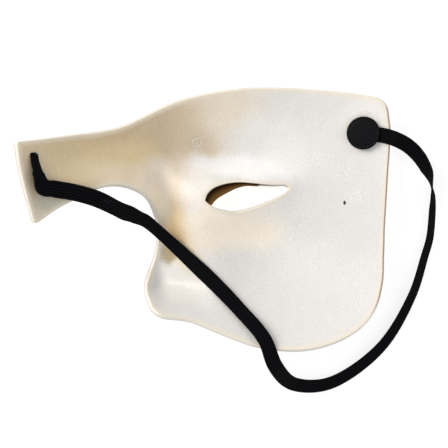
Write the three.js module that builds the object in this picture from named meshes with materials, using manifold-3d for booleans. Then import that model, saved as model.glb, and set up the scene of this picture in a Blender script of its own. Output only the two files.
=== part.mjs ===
// A moulded plastic half mask with a flat elastic strap, lying loose with its face down.
//
// Units are millimetres. The shell is shaped in the face's own frame: x runs towards the wearer's right,
// y runs up from the line of the eyes, and z runs towards the wearer, with z = 0 near the bridge of the nose.
// The finished mask is then turned to the attitude in which it comes to rest on a table.
import * as THREE from 'three';
import { mergeVertices } from 'three/addons/utils/BufferGeometryUtils.js';
import Module from 'manifold-3d';

// Driving dimensions of the shell.
const WALL = 2.4;
const HEAD_RADIUS = 145;
const MIDLINE_ROUNDING = 0.1;
const FOREHEAD = { start: 14, radius: 66, soft: 8 };
const CHEEK = { start: -26, radius: 75, soft: 8 };
const BROW = { y: 15, arch: 4, span: 62, height: 3.5, width: 9, fadeFrom: 44, fadeTo: 74 };
const SOCKET = { x: 34, halfWidth: 24, halfHeight: 13, slant: 0.12, depth: 7, powerX: 2.6, powerY: 2.2 };
const CHEEKBONE = { x: 50, y: -27, halfWidth: 24, halfHeight: 17, height: 4.5 };
const NOSE = { rootY: 2, root: 7, slope: 0.34, baseY: -53, under: 2, round: 9, soft: 3 };
const NOSE_WIDTH = { top: 7.5, gain: 4.2, fromY: 8, toY: -42 };
const NOSTRIL = { x: 12, y: -41, halfWidth: 5.5, halfHeight: 7, height: 4 };

// The thick upper lid: where its lip stands from the eye hole's inner edge, the side that it is on, and
// where it fades out towards the hole's outer corner.
const LID = { lip: [5.2, -4.3, -4.6], facing: [-0.8, 0.6], from: 0.4, to: 0.9 };
const LID_FADE = { from: 34, to: 46 };

// The strap's two slots in the band's end, and the strap itself.
const SLOT_LENGTH = 4.5;
const SLOT_WIDTH = 2.4;
const UPPER_SLOT = [-65.1, 15.8];
const LOWER_SLOT = [-62.1, 2.1];
const STRAP_WIDTH = 7;
const STRAP_THICKNESS = 1;

// The disc over the strap's end at the right temple.
const DISC = { x: 86.8, y: 28.8, radius: 7.75, thickness: 2.6, bevel: 0.5, gap: 0.9 };
const CHANNEL = { width: 7.8, depth: 1.3, strapTurn: -2.5 };

// How the mask comes to rest: it tips on its brow, cheekbone and nose.
const REST_PITCH = -3.3;
const REST_ROLL = 23.85;

// Spacing of the shell's facets.
const EDGE_STEP = 3.4;
const HOLE_STEP = 2.2;
const SLOT_STEP = 0.9;
const GRID_STEP = 4.4;
const EDGE_CLEARANCE = 0.42 * GRID_STEP;
const GRID_ROWS = 20;
const GRID_COLUMNS = 30;
const DISC_SEGMENTS = 40;

const PLASTIC = new THREE.MeshStandardMaterial({ color: 0xe9e2d3, roughness: 0.42, metalness: 0 });
const DISC_BLACK = new THREE.MeshStandardMaterial({ color: 0x16181c, roughness: 0.5, metalness: 0 });
const ELASTIC = new THREE.MeshStandardMaterial({ color: 0x050507, roughness: 0.85, metalness: 0 });

// Small shaping functions.
const bell = (t) => Math.exp(-t * t);
const larger = (a, b, soft) => 0.5 * (a + b + Math.hypot(a - b, soft));
const smaller = (a, b, soft) => -larger(-a, -b, soft);

function ramp(from, to, t) {
  const u = THREE.MathUtils.clamp((t - from) / (to - from), 0, 1);
  return u * u * (3 - 2 * u);
}

// How far a profile that curves back with the given radius has leaned, past its start.
function leanBack(past, part) {
  return larger(past, 0, part.soft) ** 2 / (2 * part.radius);
}

function noseRidge(y) {
  const line = NOSE.root - NOSE.slope * (y - NOSE.rootY);
  const underside = NOSE.under * (y - NOSE.baseY);
  return larger(smaller(line, underside, NOSE.round), 0, NOSE.soft);
}

// Height of the shell's inner face over the point (x, y) of the face frame.
function innerHeight(x, y) {
  const side = Math.hypot(x, MIDLINE_ROUNDING);
  let z = HEAD_RADIUS - Math.sqrt(HEAD_RADIUS ** 2 - side ** 2);
  z += leanBack(y - FOREHEAD.start, FOREHEAD);
  z += leanBack(CHEEK.start - y, CHEEK);
  const browLine = BROW.y + BROW.arch * Math.sin(Math.min(side / BROW.span, 1) * Math.PI);
  z -= BROW.height * bell((y - browLine) / BROW.width) * (1 - ramp(BROW.fadeFrom, BROW.fadeTo, side));
  const acrossSocket = Math.abs((side - SOCKET.x) / SOCKET.halfWidth);
  const downSocket = Math.abs((y - SOCKET.slant * (side - SOCKET.x)) / SOCKET.halfHeight);
  z += SOCKET.depth * Math.exp(-(acrossSocket ** SOCKET.powerX) - downSocket ** SOCKET.powerY);
  const acrossBone = bell((side - CHEEKBONE.x) / CHEEKBONE.halfWidth);
  z -= CHEEKBONE.height * acrossBone * bell((y - CHEEKBONE.y) / CHEEKBONE.halfHeight);
  const noseHalf = NOSE_WIDTH.top + NOSE_WIDTH.gain * ramp(NOSE_WIDTH.fromY, NOSE_WIDTH.toY, y);
  z -= noseRidge(y) * bell(side / noseHalf);
  const acrossNostril = bell((side - NOSTRIL.x) / NOSTRIL.halfWidth);
  z -= NOSTRIL.height * acrossNostril * bell((y - NOSTRIL.y) / NOSTRIL.halfHeight);
  return z;
}

function innerPoint(x, y) {
  return new THREE.Vector3(x, y, innerHeight(x, y));
}

// How far to either side a slope is measured.
const SLOPE_STEP = 0.05;

// Unit normal of the inner face, pointing to the wearer.
function innerNormal(x, y) {
  const d = SLOPE_STEP;
  const slopeX = (innerHeight(x + d, y) - innerHeight(x - d, y)) / (2 * d);
  const slopeY = (innerHeight(x, y + d) - innerHeight(x, y - d)) / (2 * d);
  return new THREE.Vector3(-slopeX, -slopeY, 1).normalize();
}

// Distances along the head's horizontal curve, so that facets on the steep sides stay as wide as in front.
const unrolled = ([x, y]) => [HEAD_RADIUS * Math.asin(x / HEAD_RADIUS), y];
const rolled = ([u, y]) => [HEAD_RADIUS * Math.sin(u / HEAD_RADIUS), y];

// A path is smooth runs joined by rounded corners: [{ run: [[x, y], ...], corner: [x, y] }, ...].
function cutPath(runs) {
  const path = new THREE.Path();
  path.moveTo(...runs[0].run[0]);
  runs.forEach(({ run, corner }, i) => {
    path.splineThru(run.slice(1).map(([x, y]) => new THREE.Vector2(x, y)));
    const next = runs[(i + 1) % runs.length].run[0];
    path.quadraticCurveTo(...corner, ...next);
  });
  return path;
}

// The points of a closed path, each of its curves in equal steps.
function pathPoints(path, step) {
  return path.curves.flatMap((curve) => {
    const count = Math.max(3, Math.round(curve.getLength() / step));
    return curve.getSpacedPoints(count).slice(0, -1).map((p) => [p.x, p.y]);
  });
}

// The cut edge of the shell, clockwise from the band's upper left corner as the wearer sees it.
const OUTLINE = cutPath([
  {
    run: [[-71.8, 20.3], [-58.7, 23], [-46, 25.7], [-34.7, 27.8], [-23.9, 30.7], [-14.9, 35], [-6.4, 39.4],
      [1.4, 43], [9.8, 45.6], [20.7, 48], [33.6, 49.8], [47.4, 50.1], [63.3, 49.1], [78, 47.1], [89.4, 44.4]],
    corner: [93.9, 42.7],
  },
  {
    run: [[95, 37], [96.5, 28.5], [96.5, 19], [95.8, 8], [95, -4], [94.2, -16], [93.6, -28], [92.2, -41],
      [88, -53], [80.5, -62], [68.5, -68.6], [53, -71.6], [35, -69.2], [19, -62.6], [7, -57.2], [-3, -55.4]],
    corner: [-8.6, -54.6],
  },
  {
    run: [[-10, -49.8], [-8.4, -43], [-4.8, -36], [-2, -29.5], [-0.9, -22.5], [-1.1, -15], [-3, -8.7],
      [-7.6, -3.1], [-14.7, 1.5], [-21.7, 3.9], [-28.8, 4.3], [-36.2, 2.4], [-45, -1.9], [-54, -6.6],
      [-62.4, -12.3]],
    corner: [-64.9, -14.1],
  },
  {
    run: [[-65.5, -11.9], [-68.1, -4.4], [-70.2, 3.1], [-71.9, 10.4], [-73, 18.4]],
    corner: [-73.3, 20.1],
  },
]);

// The eye hole, as it is cut in the inner face.
const EYE_HOLE = cutPath([
  {
    run: [[15.9, -1.6], [17, 1.4], [20.4, 4.2], [26, 6], [32.3, 6.5], [39.5, 5.8], [46.5, 5.1],
      [52.6, 5.2]],
    corner: [54.8, 4.9],
  },
  {
    run: [[55.5, 3.6], [53.6, 1.6], [48.6, -1.1], [41, -4.7], [33.6, -7.1], [27.5, -7.5], [21.5, -6]],
    corner: [17.2, -4.2],
  },
]);

// A slot with round ends, its length across the strap that passes through it.
function slotPath([x, y]) {
  const run = [UPPER_SLOT[0] - LOWER_SLOT[0], UPPER_SLOT[1] - LOWER_SLOT[1]];
  const across = Math.atan2(run[1], run[0]) - Math.PI / 2;
  const half = (SLOT_LENGTH - SLOT_WIDTH) / 2;
  const path = new THREE.Path();
  for (const end of [1, -1]) {
    const cx = x + end * half * Math.cos(across);
    const cy = y + end * half * Math.sin(across);
    const start = across - (end * Math.PI) / 2;
    path.absarc(cx, cy, SLOT_WIDTH / 2, start, start + Math.PI, false);
  }
  path.closePath();
  return path;
}

// Whether a point lies inside a closed loop.
function inside([px, py], loop) {
  let odd = false;
  loop.forEach(([ax, ay], i) => {
    const [bx, by] = loop[(i + 1) % loop.length];
    if (ay > py !== by > py && px < ax + ((bx - ax) * (py - ay)) / (by - ay)) {
      odd = !odd;
    }
  });
  return odd;
}

// Signed area of a loop, positive where it runs anticlockwise.
function loopArea(loop) {
  return THREE.ShapeUtils.area(loop.map(([x, y]) => new THREE.Vector2(x, y)));
}

function circumcircle(points, [a, b, c]) {
  const [ax, ay] = points[a];
  const [bx, by] = [points[b][0] - ax, points[b][1] - ay];
  const [cx, cy] = [points[c][0] - ax, points[c][1] - ay];
  const d = 2 * (bx * cy - by * cx);
  const x = (cy * (bx * bx + by * by) - by * (cx * cx + cy * cy)) / d;
  const y = (bx * (cx * cx + cy * cy) - cx * (bx * bx + by * by)) / d;
  return { corners: [a, b, c], x: ax + x, y: ay + y, r2: x * x + y * y };
}

// The enclosing triangle's size, far beyond every point.
const FAR_CORNER = 1e4;

// Delaunay triangles of a set of points, each anticlockwise, by adding one point at a time.
function delaunay(points) {
  const n = points.length;
  const all = [...points, [-FAR_CORNER, -FAR_CORNER], [FAR_CORNER, -FAR_CORNER], [0, FAR_CORNER]];
  let triangles = [circumcircle(all, [n, n + 1, n + 2])];
  for (let i = 0; i < n; i += 1) {
    const [px, py] = all[i];
    const kept = [];
    const open = new Map();
    for (const t of triangles) {
      if ((px - t.x) ** 2 + (py - t.y) ** 2 >= t.r2) {
        kept.push(t);
        continue;
      }
      t.corners.forEach((a, k) => {
        const b = t.corners[(k + 1) % 3];
        if (!open.delete(`${b} ${a}`)) {
          open.set(`${a} ${b}`, [a, b]);
        }
      });
    }
    triangles = kept;
    for (const [a, b] of open.values()) {
      triangles.push(circumcircle(all, [a, b, i]));
    }
  }
  return triangles.map((t) => t.corners).filter((t) => Math.max(...t) < n);
}

// Points of an even triangular grid inside the outline and clear of every cut edge.
function gridPoints(loops) {
  const [outline, ...holes] = loops;
  const edges = loops.flatMap((loop) => loop.map((p, i) => {
    const next = loop[(i + 1) % loop.length];
    const half = Math.hypot(next[0] - p[0], next[1] - p[1]) / 2;
    return { x: (p[0] + next[0]) / 2, y: (p[1] + next[1]) / 2, clear: half + EDGE_CLEARANCE };
  }));
  const points = [];
  const rise = (GRID_STEP * Math.sqrt(3)) / 2;
  for (let row = -GRID_ROWS; row <= GRID_ROWS; row += 1) {
    for (let column = -GRID_COLUMNS; column <= GRID_COLUMNS; column += 1) {
      const p = [(column + (row % 2 ? 0.5 : 0)) * GRID_STEP, row * rise];
      const clear = edges.every((e) => Math.hypot(p[0] - e.x, p[1] - e.y) > e.clear);
      if (clear && inside(p, outline) && !holes.some((hole) => inside(p, hole))) {
        points.push(p);
      }
    }
  }
  return points;
}

// How much of the lid's lip an edge of the eye hole has: 1 where the edge faces the lid's own side, and 0
// towards the hole's outer corner.
function lidAmount(before, after) {
  const along = [after[0] - before[0], after[1] - before[1]];
  const facing = (LID.facing[1] * along[0] - LID.facing[0] * along[1]) / Math.hypot(...along);
  const fade = ramp(LID_FADE.from, LID_FADE.to, 0.5 * (before[0] + after[0]));
  return ramp(LID.from, LID.to, facing) * (1 - fade);
}

// Each edge point's partner on the outer face. The eye hole's upper side is drawn out into the lid's lip.
function outerEdge(loop, isEye) {
  return loop.map(([x, y], i) => {
    const through = innerNormal(x, y).multiplyScalar(-WALL);
    if (isEye) {
      const before = loop[(i + loop.length - 1) % loop.length];
      const after = loop[(i + 1) % loop.length];
      through.lerp(new THREE.Vector3(...LID.lip), lidAmount(before, after));
    }
    return innerPoint(x, y).add(through);
  });
}

// The shell: an inner and an outer face on the same triangles, joined by a wall along every cut edge.
function maskShell() {
  const flatLoops = [
    { path: OUTLINE, step: EDGE_STEP },
    { path: EYE_HOLE, step: HOLE_STEP },
    { path: slotPath(UPPER_SLOT), step: SLOT_STEP },
    { path: slotPath(LOWER_SLOT), step: SLOT_STEP },
  ].map(({ path, step }, i) => {
    const loop = pathPoints(path, step);
    const anticlockwise = loopArea(loop) > 0;
    return anticlockwise === (i === 0) ? loop : loop.reverse();
  });
  const loops = flatLoops.map((loop) => loop.map(unrolled));
  const points = [...loops.flat(), ...gridPoints(loops)];
  const [outline, ...holes] = loops;
  const faces = delaunay(points).filter((corners) => {
    const centre = [0, 1].map((k) => corners.reduce((sum, c) => sum + points[c][k], 0) / 3);
    return inside(centre, outline) && !holes.some((hole) => inside(centre, hole));
  });
  const flat = points.map(rolled);
  const inner = flat.map(([x, y]) => innerPoint(x, y));
  const outer = flat.map(([x, y]) => innerPoint(x, y).addScaledVector(innerNormal(x, y), -WALL));
  const n = points.length;
  const index = faces.flatMap(([a, b, c]) => [a, b, c, n + a, n + c, n + b]);
  let first = 0;
  flatLoops.forEach((loop, k) => {
    outerEdge(loop, k === 1).forEach((point, i) => {
      outer[first + i] = point;
      const here = first + i;
      const next = first + ((i + 1) % loop.length);
      index.push(here, n + here, n + next, here, n + next, next);
    });
    first += loop.length;
  });
  const geometry = new THREE.BufferGeometry().setFromPoints([...inner, ...outer]);
  geometry.setIndex(index);
  geometry.computeVertexNormals();
  return geometry;
}

// The disc: a flat cap with a bevelled rim and a channel for the strap's end underneath.
async function strapDisc() {
  const wasm = await Module();
  wasm.setup();
  const solid = (geometry) => {
    geometry.deleteAttribute('normal');
    geometry.deleteAttribute('uv');
    const merged = mergeVertices(geometry);
    const vertProperties = merged.attributes.position.array;
    return new wasm.Manifold(new wasm.Mesh({ numProp: 3, vertProperties, triVerts: merged.index.array }));
  };
  const { radius, thickness, bevel } = DISC;
  const side = [[radius, 0], [radius, thickness - bevel], [radius - bevel, thickness]];
  const profile = [[0, 0], ...side, [0, thickness]];
  const cap = new THREE.LatheGeometry(profile.map(([r, h]) => new THREE.Vector2(r, h)), DISC_SEGMENTS);
  cap.rotateX(Math.PI / 2);
  const channel = new THREE.BoxGeometry(2 * radius, CHANNEL.width, 2 * CHANNEL.depth);
  channel.translate(radius, 0, 0);
  channel.rotateZ(THREE.MathUtils.degToRad(CHANNEL.strapTurn));
  const cut = solid(cap).subtract(solid(channel)).getMesh();
  const geometry = new THREE.BufferGeometry();
  geometry.setAttribute('position', new THREE.BufferAttribute(cut.vertProperties, 3));
  geometry.setIndex(new THREE.BufferAttribute(cut.triVerts, 1));
  return geometry;
}

// The strap's middle line on the table and in the resting mask, from under the disc, over the right edge,
// along the table, back over the lower edge, across the nose and up the band to its slots:
// [x, y, z, how far the width is turned up from level in degrees, width].
const STRAP_ROUTE = [
  [70.9, 39.8, 10.1, 9, 7], [79.6, 38.4, 12.2, 10, 7], [84.2, 36.6, 13.9, 13, 7],
  [90.5, 33.5, 11.6, 22, 7], [96.1, 28.6, 8.6, 36, 7], [100.3, 22.4, 6, 54, 7],
  [102.5, 16.8, 4.7, 95, 7], [103.6, 10.6, 4, 118, 7], [103.4, 3.9, 3.8, 128, 7],
  [102.2, -9.5, 3.6, 131, 7], [99.8, -18.1, 3.5, 132, 7], [93.6, -37.5, 3.4, 136, 7],
  [78.5, -62.3, 2.8, 146, 7], [55, -79, 2.2, 158, 7], [37.5, -78.6, 8.6, 168, 7],
  [27.2, -67.6, 22.3, 185, 7], [22.2, -55.2, 23.3, 203, 7], [11.2, -42.6, 17, 205, 7],
  [0.1, -31.2, 14, 193, 7], [-14.1, -18.1, 10.5, 158, 7], [-22.6, -10.3, 9.8, 150, 7],
  [-28.8, -4.5, 14.3, 148, 7], [-32.4, -1.5, 18.8, 149, 7.4], [-36.2, 0.4, 24.4, 153, 7.4],
  [-43.1, 3.8, 34.2, 166, 7.2], [-51.4, 8.2, 45.9, 183, 7.3], [-59.8, 10.6, 50.4, 184, 7.2],
  [-66.9, 11.8, 55.2, 187, 7.3], [-71.3, 12.7, 59.2, 210, 7.7], [-72.5, 16.6, 60.2, 226, 6.1],
  [-73, 19.3, 59.3, 231, 5.1], [-74.2, 22.4, 58.5, 234, 4.8], [-74.2, 25.8, 57.2, 226, 4.1],
  [-76.1, 26.5, 56.1, 260, 3.5], [-77.8, 25.5, 54.6, 297, 3.5], [-76.6, 18.8, 53.6, 311, 3.5],
  [-74.8, 13.1, 53.1, 317, 3.5], [-72.8, 12.5, 55.3, 274, 3.5], [-71.5, 13.6, 57.1, 227, 3.5],
  [-72.3, 17.3, 57.1, 225, 3.5],
];
const STEPS_PER_POINT = 2;

// The strap's path. Its steps follow the route's points, which lie closer where the strap bends. Its frames
// carry the strap's turn, its half width and its half thickness. Squeezed elastic grows thicker.
class StrapPath extends THREE.CatmullRomCurve3 {
  constructor(route) {
    super(route.map(([x, y, z]) => new THREE.Vector3(x, y, z)));
    this.route = route;
  }

  getSpacedPoints(steps) {
    return this.getPoints(steps);
  }

  // The turn and the width at a part of the way along the route's points.
  section(t) {
    const place = t * (this.route.length - 1);
    const first = Math.min(Math.floor(place), this.route.length - 2);
    const [here, next] = [this.route[first], this.route[first + 1]];
    const [turn, width] = [3, 4].map((k) => THREE.MathUtils.lerp(here[k], next[k], place - first));
    return { turn: THREE.MathUtils.degToRad(turn), width };
  }

  computeFrenetFrames(steps) {
    const frames = { tangents: [], normals: [], binormals: [] };
    for (let i = 0; i <= steps; i += 1) {
      const { turn, width } = this.section(i / steps);
      const along = this.getTangent(i / steps);
      const level = new THREE.Vector3(0, 0, 1).cross(along).normalize();
      const across = level.applyAxisAngle(along, turn);
      const thickness = STRAP_THICKNESS * Math.sqrt(STRAP_WIDTH / width);
      frames.tangents.push(along);
      frames.binormals.push(along.clone().cross(across).multiplyScalar(thickness / 2));
      frames.normals.push(across.multiplyScalar(width / 2));
    }
    return frames;
  }
}

function elasticStrap() {
  const halfSection = [[1, -0.5], [1, 0.5], [0.8, 1], [-0.8, 1]];
  const section = [...halfSection, ...halfSection.map(([w, t]) => [-w, -t])];
  const shape = new THREE.Shape(section.map(([w, t]) => new THREE.Vector2(w, t)));
  return new THREE.ExtrudeGeometry(shape, {
    steps: (STRAP_ROUTE.length - 1) * STEPS_PER_POINT,
    extrudePath: new StrapPath(STRAP_ROUTE),
    bevelEnabled: false,
  });
}

const mask = new THREE.Group();
const shell = new THREE.Mesh(maskShell(), PLASTIC);
shell.name = 'mask_shell';
mask.add(shell);

const disc = new THREE.Mesh(await strapDisc(), DISC_BLACK);
disc.name = 'strap_disc';
const discNormal = innerNormal(DISC.x, DISC.y);
const discAcross = new THREE.Vector3(1, 0, 0).addScaledVector(discNormal, -discNormal.x).normalize();
const discUp = new THREE.Vector3().crossVectors(discNormal, discAcross);
disc.setRotationFromMatrix(new THREE.Matrix4().makeBasis(discAcross, discUp, discNormal));
disc.position.copy(innerPoint(DISC.x, DISC.y)).addScaledVector(discNormal, DISC.gap);
mask.add(disc);

// At rest the mask stands on the table, centred over the origin.
mask.rotation.order = 'YXZ';
mask.rotation.set(THREE.MathUtils.degToRad(REST_PITCH), THREE.MathUtils.degToRad(REST_ROLL), 0);
mask.updateMatrixWorld(true);
const box = new THREE.Box3().setFromObject(mask, true);
mask.position.set(-(box.min.x + box.max.x) / 2, -(box.min.y + box.max.y) / 2, -box.min.z);

const strap = new THREE.Mesh(elasticStrap(), ELASTIC);
strap.name = 'elastic_strap';

const halfMask = new THREE.Group();
halfMask.add(mask, strap);
export default halfMask;
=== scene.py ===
"""A moulded plastic half mask with a flat elastic strap, lying loose with its face down on a pale table.

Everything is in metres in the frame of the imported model, with the table at z = 0. The mask's shape is worked
out in millimetres in the face's own frame, and is then turned to the attitude in which it rests. In that
frame x runs towards the wearer's right, y runs up from the line of the eyes and z runs towards the wearer.
"""

from __future__ import annotations

import logging
import math
from dataclasses import dataclass, field
from enum import Enum
from typing import Any, Callable, Mapping, Sequence

import bpy
import numpy as np
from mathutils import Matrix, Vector
from mathutils.geometry import delaunay_2d_cdt

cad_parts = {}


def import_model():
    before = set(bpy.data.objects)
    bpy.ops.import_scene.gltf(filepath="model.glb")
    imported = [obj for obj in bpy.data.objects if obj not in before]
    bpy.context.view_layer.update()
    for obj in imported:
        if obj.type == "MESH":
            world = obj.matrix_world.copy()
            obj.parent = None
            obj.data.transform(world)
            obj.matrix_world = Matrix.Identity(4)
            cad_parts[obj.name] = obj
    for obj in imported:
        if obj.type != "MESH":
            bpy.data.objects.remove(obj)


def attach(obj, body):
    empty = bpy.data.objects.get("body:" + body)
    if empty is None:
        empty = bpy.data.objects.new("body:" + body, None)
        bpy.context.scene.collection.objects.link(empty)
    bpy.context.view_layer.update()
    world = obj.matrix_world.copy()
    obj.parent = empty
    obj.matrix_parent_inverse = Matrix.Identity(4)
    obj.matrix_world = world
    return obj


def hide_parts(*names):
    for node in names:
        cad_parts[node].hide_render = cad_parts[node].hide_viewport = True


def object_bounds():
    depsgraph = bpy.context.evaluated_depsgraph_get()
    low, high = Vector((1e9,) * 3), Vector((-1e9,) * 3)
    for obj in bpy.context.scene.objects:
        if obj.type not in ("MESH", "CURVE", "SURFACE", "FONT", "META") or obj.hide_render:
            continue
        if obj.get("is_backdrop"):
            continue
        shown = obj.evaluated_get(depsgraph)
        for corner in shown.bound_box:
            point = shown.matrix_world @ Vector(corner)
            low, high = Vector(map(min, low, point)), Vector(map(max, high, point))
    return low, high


LOG = logging.getLogger("half_mask")
MILLIMETRE = 0.001
LEAST_POINTS = 12
BODY = "root"

Colour = tuple[float, float, float, float]
Pair = tuple[float, float]
Place = tuple[float, float, float]
Ramp = tuple[float, float, float, float]


def shade(red: int, green: int, blue: int) -> Colour:
    """Turn a screen colour of 0 to 255 a channel into the linear colour that a shader takes.

    Args:
        red: Red, 0 to 255.
        green: Green, 0 to 255.
        blue: Blue, 0 to 255.

    Returns:
        The linear colour with full alpha.
    """
    parts = [c / 255 for c in (red, green, blue)]
    linear = [c / 12.92 if c <= 0.04045 else ((c + 0.055) / 1.055) ** 2.4 for c in parts]
    return (linear[0], linear[1], linear[2], 1.0)


# Shader and geometry graphs


def operator(operation: str, reflected: bool = False) -> Callable[[Value, Value | float], Value]:
    """Make a method for one of Python's operators.

    Args:
        operation: The Math node's operation.
        reflected: Whether the other operand comes first.

    Returns:
        The method, which adds the Math node.
    """

    def method(self: Value, other: Value | float) -> Value:
        """Combine this value with a value or a number."""
        return self.graph.math(operation, *((other, self) if reflected else (self, other)))

    return method


class Value:
    """A node's output socket, on which Python's operators make Math nodes."""

    def __init__(self, graph: Graph, socket: bpy.types.NodeSocket) -> None:
        """Keep the socket and the graph that it is in."""
        self.graph = graph
        self.socket = socket

    __add__, __radd__ = operator("ADD"), operator("ADD", True)
    __sub__, __rsub__ = operator("SUBTRACT"), operator("SUBTRACT", True)
    __mul__, __rmul__ = operator("MULTIPLY"), operator("MULTIPLY", True)
    __truediv__, __rtruediv__ = operator("DIVIDE"), operator("DIVIDE", True)
    __pow__, __rpow__ = operator("POWER"), operator("POWER", True)
    __gt__, __lt__ = operator("GREATER_THAN"), operator("LESS_THAN")

    def __abs__(self) -> Value:
        """Give the size without the sign."""
        return self.graph.math("ABSOLUTE", self)


class Made:
    """A node that was just made, whose outputs are read by name."""

    def __init__(self, graph: Graph, node: bpy.types.Node) -> None:
        """Keep the node and its graph."""
        self.graph = graph
        self.node = node

    def __getitem__(self, name: str) -> Value:
        """Give the output of that name which is in use, ready for arithmetic."""
        return Value(self.graph, next(s for s in self.node.outputs if s.name == name and s.enabled))


class Graph:
    """A node tree, for a material or for geometry, with one way to make each node."""

    def __init__(self, tree: bpy.types.NodeTree) -> None:
        """Start on an empty tree."""
        self.tree = tree
        tree.nodes.clear()

    def node(
        self,
        kind: str,
        settings: Mapping[str, Any] | None = None,
        sockets: Mapping[str | int, Any] | None = None,
    ) -> Made:
        """Make a node, set it up and then fill or link its inputs.

        Args:
            kind: Blender's name for the type of node.
            settings: The node's own properties.
            sockets: A value or a link for each input that isn't left as it is, by name or number.

        Returns:
            The node.
        """
        made = self.tree.nodes.new(kind)
        for name, value in (settings or {}).items():
            setattr(made, name, value)
        for key, value in (sockets or {}).items():
            named = (s for s in made.inputs if s.name == key and s.enabled)
            socket = made.inputs[key] if isinstance(key, int) else next(named)
            if isinstance(value, Value):
                self.tree.links.new(value.socket, socket)
            else:
                socket.default_value = value
        return Made(self, made)

    def math(self, operation: str, *values: Value | float) -> Value:
        """Make a Math node on one to three values."""
        return self.node("ShaderNodeMath", {"operation": operation}, dict(enumerate(values)))["Value"]

    def vector(self, operation: str, *values: Value | Place, output: str = "Vector") -> Value:
        """Make a Vector Math node on two vectors and give the output that is asked."""
        return self.node("ShaderNodeVectorMath", {"operation": operation}, dict(enumerate(values)))[output]

    def scaled(self, vector: Value, scale: Value) -> Value:
        """Make a vector longer or shorter."""
        sockets = {0: vector, "Scale": scale}
        return self.node("ShaderNodeVectorMath", {"operation": "SCALE"}, sockets)["Vector"]

    def attribute(self, name: str, output: str = "Fac") -> Value:
        """Read what is stored on the mesh under a name."""
        return self.node("ShaderNodeAttribute", {"attribute_name": name})[output]

    def ramp(self, value: Value, start: float, end: float, low: float = 0.0, high: float = 1.0) -> Value:
        """Turn a value smoothly from low, up to start, to high, from end on."""
        sockets = {"Value": value, "From Min": start, "From Max": end, "To Min": low, "To Max": high}
        return self.node("ShaderNodeMapRange", {"interpolation_type": "SMOOTHSTEP"}, sockets)["Result"]

    def blend(self, factor: Value, first: Value | Colour, second: Value | Colour) -> Value:
        """Mix two colours, where a factor of 0 gives the first and 1 the second."""
        sockets = {"Factor": factor, "A": first, "B": second}
        return self.node("ShaderNodeMix", {"data_type": "RGBA"}, sockets)["Result"]

    def bump(self, height: Value, strength: float, distance: float) -> Value:
        """Turn a relief, whose height of 1 stands a distance high in metres, into a normal."""
        sockets = {"Height": height, "Strength": strength, "Distance": distance}
        return self.node("ShaderNodeBump", None, sockets)["Normal"]

    def noise(self, place: Value, size: float, detail: float = 2.0, roughness: float = 0.5) -> Value:
        """Make soft noise round 0.5, with patches of a size in metres."""
        sockets = {"Vector": place, "Scale": 1 / size, "Detail": detail, "Roughness": roughness}
        return self.node("ShaderNodeTexNoise", {"noise_dimensions": "3D"}, sockets)["Fac"]

    def shader(self, colour: Value, roughness: Value | float, specular: float, **others: Any) -> Value:
        """Make a Principled shader, with its other inputs by name."""
        sockets = {"Base Color": colour, "Roughness": roughness, "Specular IOR Level": specular, **others}
        return self.node("ShaderNodeBsdfPrincipled", None, sockets)["BSDF"]


# Finishes


@dataclass(frozen=True)
class Finish:
    """What every material has: a name, how dull and how shiny it is, and how far that varies."""

    name: str
    slot: str
    roughness: float = 0.5
    dullness: Pair = (0.08, 0.08)
    grain_range: Pair = (0.3, 0.7)
    specular: float = 0.5
    bump_strength: float = 0.5

    def start(self) -> tuple[bpy.types.Material, Graph, Value]:
        """Make an empty material.

        Returns:
            The material, its graph and the coordinates on the piece, in metres.
        """
        material = bpy.data.materials.new(self.name)
        material.use_nodes = True
        graph = Graph(material.node_tree)
        return material, graph, graph.node("ShaderNodeTexCoord")["Object"]

    def grained(self, colour: Value, grain: Value, height: Value, distance: float) -> Value:
        """Make the shader of a surface with a grain.

        Args:
            colour: Its colour.
            grain: Noise that makes it duller and shinier.
            height: Its relief.
            distance: How high a relief of 1 stands, in metres.

        Returns:
            The shader.
        """
        graph, (less, more) = grain.graph, self.dullness
        dull = graph.ramp(grain, *self.grain_range, self.roughness - less, self.roughness + more)
        normal = graph.bump(height, self.bump_strength, distance)
        return graph.shader(colour, dull, self.specular, Normal=normal)

    @staticmethod
    def close(surface: Value) -> None:
        """Close a graph with its output."""
        surface.graph.node("ShaderNodeOutputMaterial", None, {"Surface": surface})


@dataclass(frozen=True)
class Tint:
    """A soft oval area of another colour on the shell's inner face, measured in the plane of the table, used
    for yellowing, for painted shade and painted light, and for zones of painted glints.
    """

    centre: Place
    half_width: float
    half_height: float
    turn: float
    colour: Colour
    strength: float

    def amount(self, x: Value, y: Value) -> Value:
        """Give the tint's strength at a place.

        Args:
            x: The place's distance to the right, in metres.
            y: The place's distance up, in metres.

        Returns:
            The strength, greatest at the centre and 0 outside the oval.
        """
        cos, sin = math.cos(math.radians(self.turn)), math.sin(math.radians(self.turn))
        right, up = x - self.centre[0], y - self.centre[1]
        along = (right * cos + up * sin) / (self.half_width * MILLIMETRE)
        over = (up * cos - right * sin) / (self.half_height * MILLIMETRE)
        near = x.graph.ramp(along * along + over * over, 1.0, 0.0)
        return near * near * self.strength


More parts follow.
